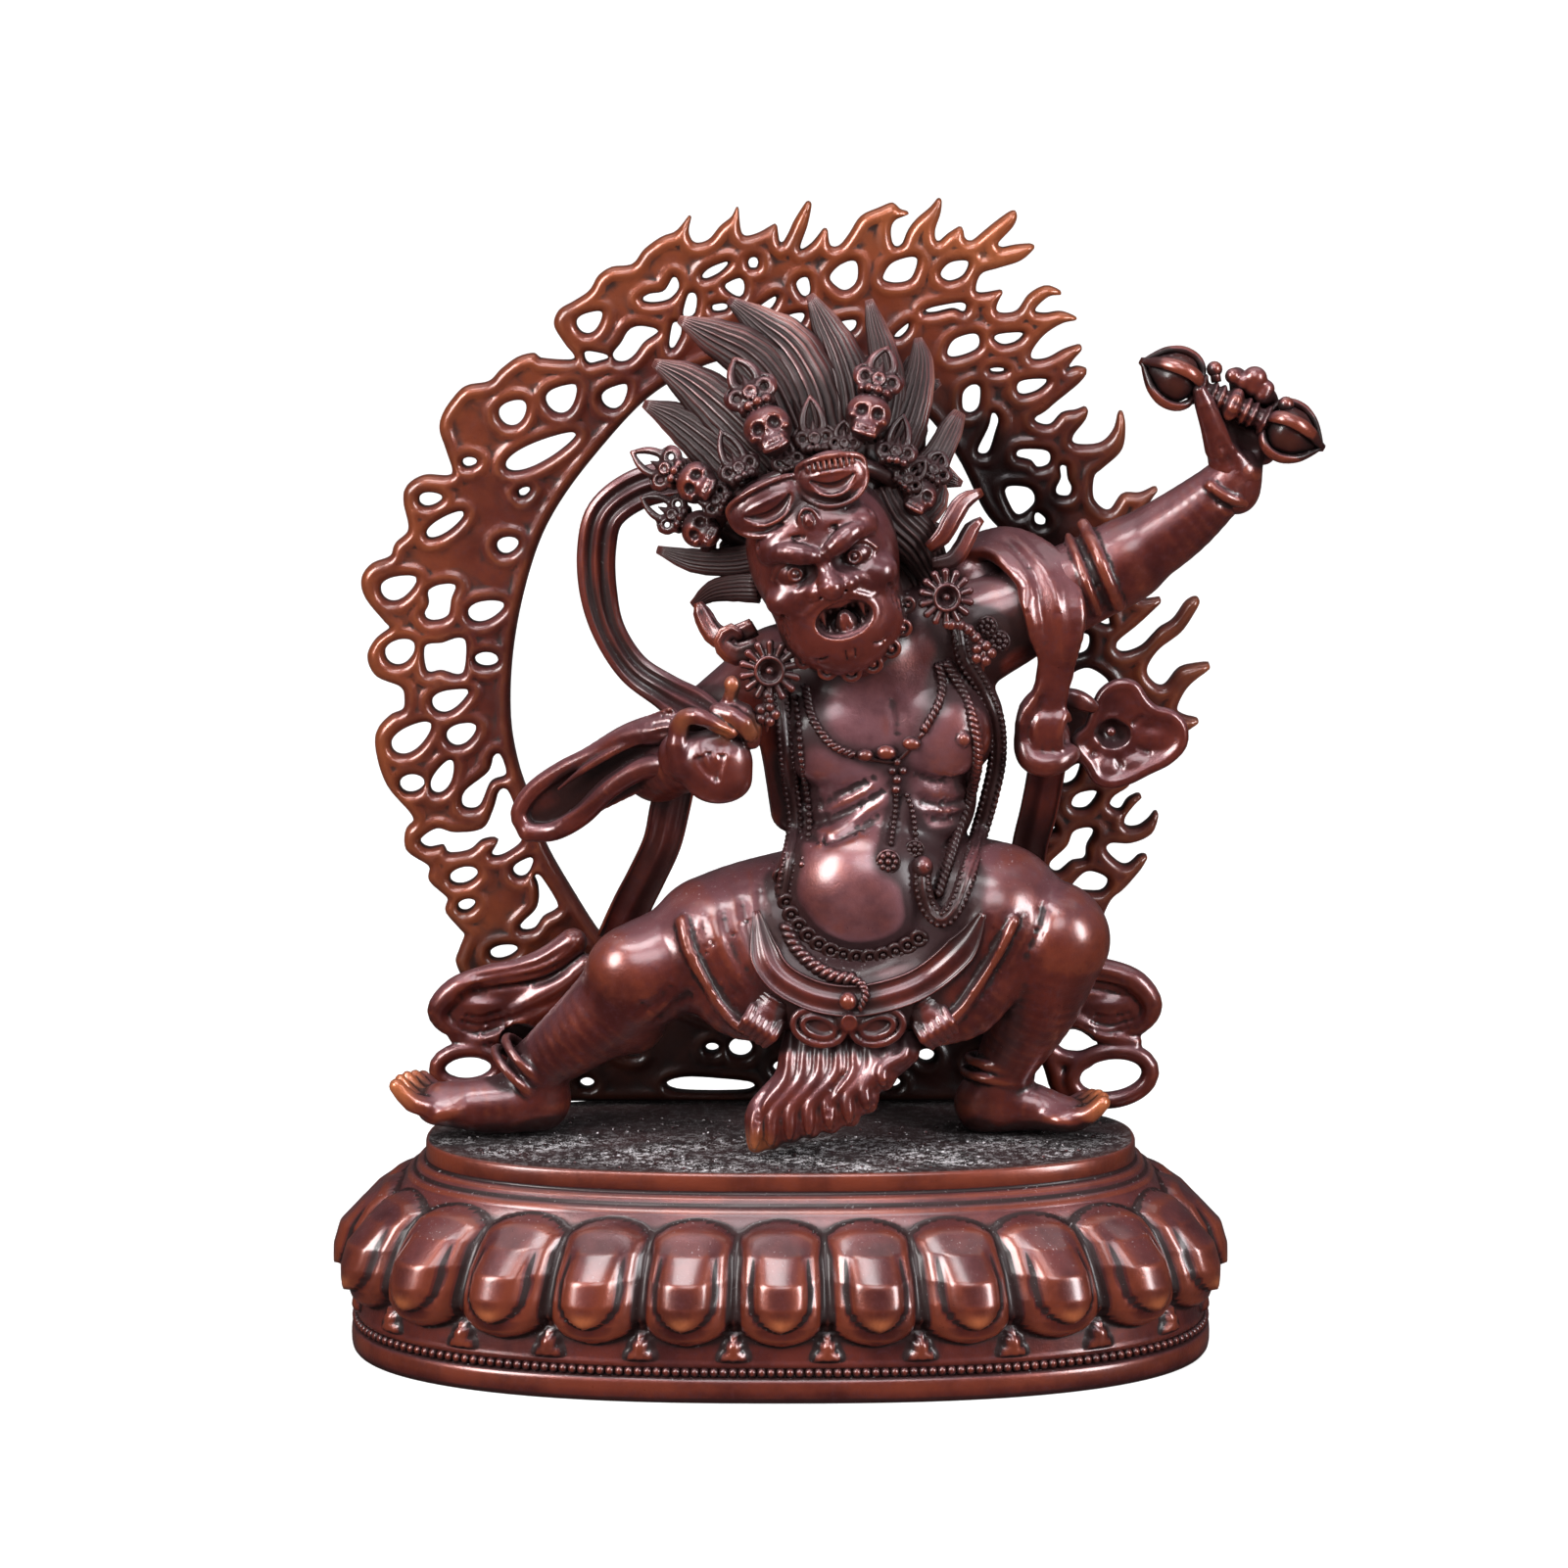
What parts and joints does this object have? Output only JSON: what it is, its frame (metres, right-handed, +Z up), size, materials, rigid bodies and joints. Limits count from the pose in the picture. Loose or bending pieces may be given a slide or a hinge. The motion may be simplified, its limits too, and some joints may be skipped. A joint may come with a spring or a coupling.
{
  "type": "statue",
  "caption": "Small cast-metal wrathful figure in a lunge with a raised thunderbolt, on an oval lotus base before an openwork flame aureole.",
  "frame": {"origin": "centre of the lotus base's flat underside, which stands on the surface", "axes": "+Z up, -Y towards the viewer whom the figure faces, +X to that viewer's right, where the raised arm is"},
  "size_m": [0.1344, 0.067, 0.1587],
  "materials": {
    "lotus_copper": "dark red-brown patina, glossy, with dust on the top",
    "flame_copper": "warm brown patina, worn to copper at the edges",
    "figure_copper": "dark red-brown patina, glossy, worn on what stands out"
  },
  "bodies": {
    "root": {"lotus_base": "lotus_copper", "flame_aureole": "flame_copper", "vajrapani_figure": "figure_copper"}
  },
  "joints": []
}
